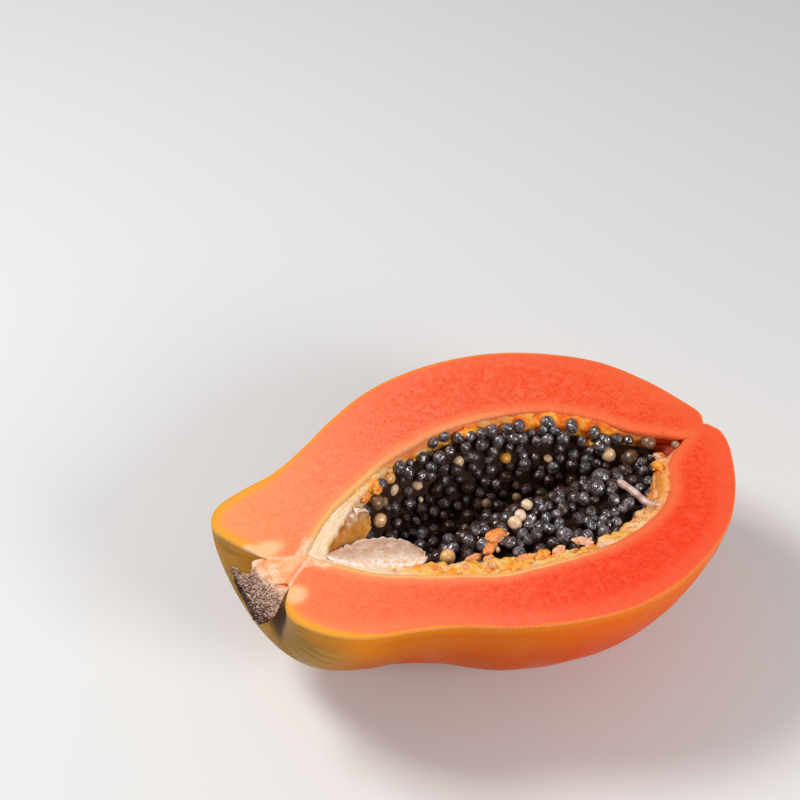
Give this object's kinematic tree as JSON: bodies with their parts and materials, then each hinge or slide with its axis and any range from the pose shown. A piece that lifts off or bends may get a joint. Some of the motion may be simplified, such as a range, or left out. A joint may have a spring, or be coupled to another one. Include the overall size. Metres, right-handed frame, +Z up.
{
  "type": "papaya half",
  "caption": "Ripe papaya cut lengthwise, with its woody stem stub and a cavity of glossy black seeds, lying on its skin with the cut face up.",
  "frame": {"origin": "bottom centre of the part's box, on the surface the half lies on", "axes": "+X from the stem end to the blossom end, +Y across the cut face to the far side, +Z up out of the cut face"},
  "size_m": [0.1794, 0.1292, 0.063],
  "materials": {
    "flesh": "moist coral-red flesh, peach at the stem end, with a fine grain",
    "skin": "thin waxy orange skin, olive green and streaked at the stem end",
    "lining": "ragged moist orange-yellow lining, whitish at the stem end",
    "seed": "near-black seeds in a glossy clear coat",
    "pale_seed": "cream undeveloped seeds, moist",
    "stalk": "dry tan fibres, dark and rough at the outer end"
  },
  "bodies": {
    "root": {"fruit_half": "flesh", "stem_stub": "stalk", "seed_mass": "seed"}
  },
  "joints": []
}
